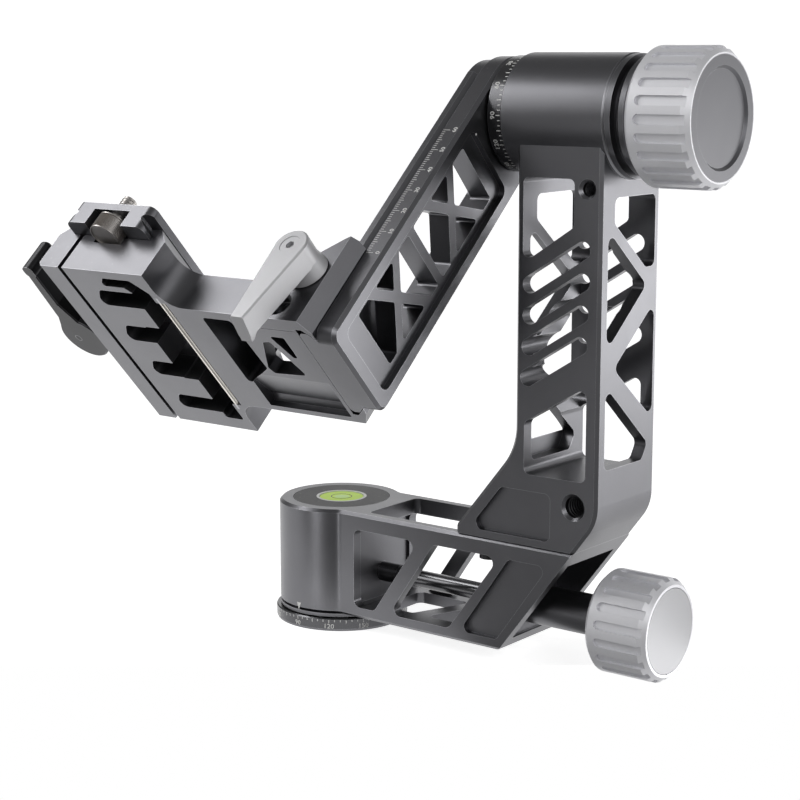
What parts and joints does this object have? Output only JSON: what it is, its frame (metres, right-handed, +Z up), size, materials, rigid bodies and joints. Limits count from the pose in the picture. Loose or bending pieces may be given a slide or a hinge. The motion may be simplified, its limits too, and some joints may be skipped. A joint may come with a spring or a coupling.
{
  "type": "gimbal tripod head",
  "caption": "Side-arm gimbal head: pan base, truss arm and upright with a tilt barrel, and a swing arm with a height-adjustable lever clamp for a long lens.",
  "frame": {"origin": "centre of the tripod thread's mouth, at the bottom of the pan base", "axes": "+Z up along the pan axis, +X along the base arm towards the upright and the tilt axis, +Y away from the side with the height lever"},
  "size_m": [0.2339, 0.158, 0.2331],
  "materials": {
    "anodised_dark": "satin",
    "scale_black": "satin",
    "knob_silver": "satin",
    "knob_face_pale": "satin",
    "knob_face_dark": "satin",
    "lever_black": "satin",
    "steel": "satin",
    "screw_steel": "satin",
    "screw_black": "satin",
    "bearing_steel": "polished",
    "bronze": "satin",
    "level_rim": "satin",
    "level_green": "clear",
    "pad_rubber": "matte"
  },
  "bodies": {
    "tripod_side": {"pan_base": "anodised_dark", "pan_scale_ring": "scale_black", "thread_insert": "steel", "pan_thrust_bearing": "bearing_steel", "pan_ball_bearing": "bearing_steel", "pan_retaining_nut": "steel"},
    "pan_arm": {"base_arm": "anodised_dark", "pan_cap": "anodised_dark", "level_cup": "level_rim", "level_vial": "level_green", "pan_lock_sleeve": "anodised_dark", "upright": "anodised_dark", "upright_screws": "screw_black", "tilt_bearings": "bearing_steel", "tilt_scale_ring": "scale_black"},
    "pan_brake": {"pan_brake_shoe": "bronze"},
    "pan_lock": {"pan_lock_rod": "steel", "pan_lock_knob": "knob_silver", "pan_lock_knob_cap": "knob_face_pale"},
    "swing": {"swing_arm": "anodised_dark", "swing_arm_screws": "screw_black", "tilt_shaft": "steel"},
    "tilt_clutch": {"tilt_pressure_disc": "anodised_dark", "tilt_collar": "anodised_dark"},
    "tilt_lock": {"tilt_knob": "knob_silver", "tilt_knob_cap": "knob_face_dark"},
    "height_carriage": {"carriage": "anodised_dark", "carriage_dowels": "steel", "clamp_rod": "steel", "clamp_guide_pins": "steel", "clamp_draw_rod": "steel"},
    "height_cheek": {"carriage_cheek": "anodised_dark"},
    "height_lock": {"height_lever": "knob_silver", "height_lever_screw": "steel", "height_lever_stud": "steel"},
    "jaw": {"clamp_jaw": "anodised_dark"},
    "cam_lever": {"clamp_lever": "lever_black", "clamp_lever_pin": "steel"},
    "plate": {"quick_release_plate": "anodised_dark", "plate_pads": "pad_rubber"},
    "camera_screw_body": {"camera_screw": "screw_steel"}
  },
  "joints": [
    {"name": "pan", "type": "hinge", "parent": "tripod_side", "child": "pan_arm", "pos_m": [0, 0, 0], "axis": [0, 0, 1], "continuous": true},
    {"name": "pan_lock_turn", "type": "hinge", "parent": "pan_arm", "child": "pan_lock", "pos_m": [0.14, 0, 0.0216], "axis": [-1, 0, 0], "range_deg": [0, 108]},
    {"name": "pan_brake_slide", "type": "slide", "parent": "pan_arm", "child": "pan_brake", "axis": [-1, 0, 0], "range_m": [0, 0.0003]},
    {"name": "tilt", "type": "hinge", "parent": "pan_arm", "child": "swing", "pos_m": [0.1157, 0, 0.2081], "axis": [1, 0, 0], "continuous": true},
    {"name": "tilt_lock_turn", "type": "hinge", "parent": "swing", "child": "tilt_lock", "pos_m": [0.1595, 0, 0.2081], "axis": [-1, 0, 0], "range_deg": [0, 90]},
    {"name": "tilt_clutch_slide", "type": "slide", "parent": "swing", "child": "tilt_clutch", "axis": [-1, 0, 0], "range_m": [0, 0.00025]},
    {"name": "height", "type": "slide", "parent": "swing", "child": "height_carriage", "axis": [0, 0.739, 0.6737], "range_m": [0, 0.06]},
    {"name": "height_lever_turn", "type": "hinge", "parent": "height_carriage", "child": "height_lock", "pos_m": [0.0668, -0.10161, 0.16148], "axis": [0, 0.6737, -0.739], "range_deg": [0, 144]},
    {"name": "height_cheek_slide", "type": "slide", "parent": "height_carriage", "child": "height_cheek", "axis": [0, -0.6737, 0.739], "range_m": [0, 0.0004]},
    {"name": "cam_lever_turn", "type": "hinge", "parent": "height_carriage", "child": "cam_lever", "pos_m": [-0.054, -0.08912, 0.12551], "axis": [0, -0.739, -0.6737], "range_deg": [0, 120]},
    {"name": "jaw_slide", "type": "slide", "parent": "height_carriage", "child": "jaw", "axis": [-1, 0, 0], "range_m": [0, 0.0024]},
    {"name": "plate_slide", "type": "slide", "parent": "height_carriage", "child": "plate", "axis": [0, 0.6737, -0.739], "range_m": [-0.025, 0.025]},
    {"name": "camera_screw_turn", "type": "hinge", "parent": "plate", "child": "camera_screw_body", "pos_m": [-0.0136, -0.11242, 0.16814], "axis": [0, 0.739, 0.6737], "continuous": true}
  ],
  "couplings": [
    {"joint": "pan_brake_slide", "follows": "pan_lock_turn", "m_per_rad": 0.00015915},
    {"joint": "tilt_clutch_slide", "follows": "tilt_lock_turn", "m_per_rad": 0.00015915},
    {"joint": "height_cheek_slide", "follows": "height_lever_turn", "m_per_rad": 0.00015915},
    {"joint": "jaw_slide", "follows": "cam_lever_turn", "m_per_rad": 0.001145}
  ]
}
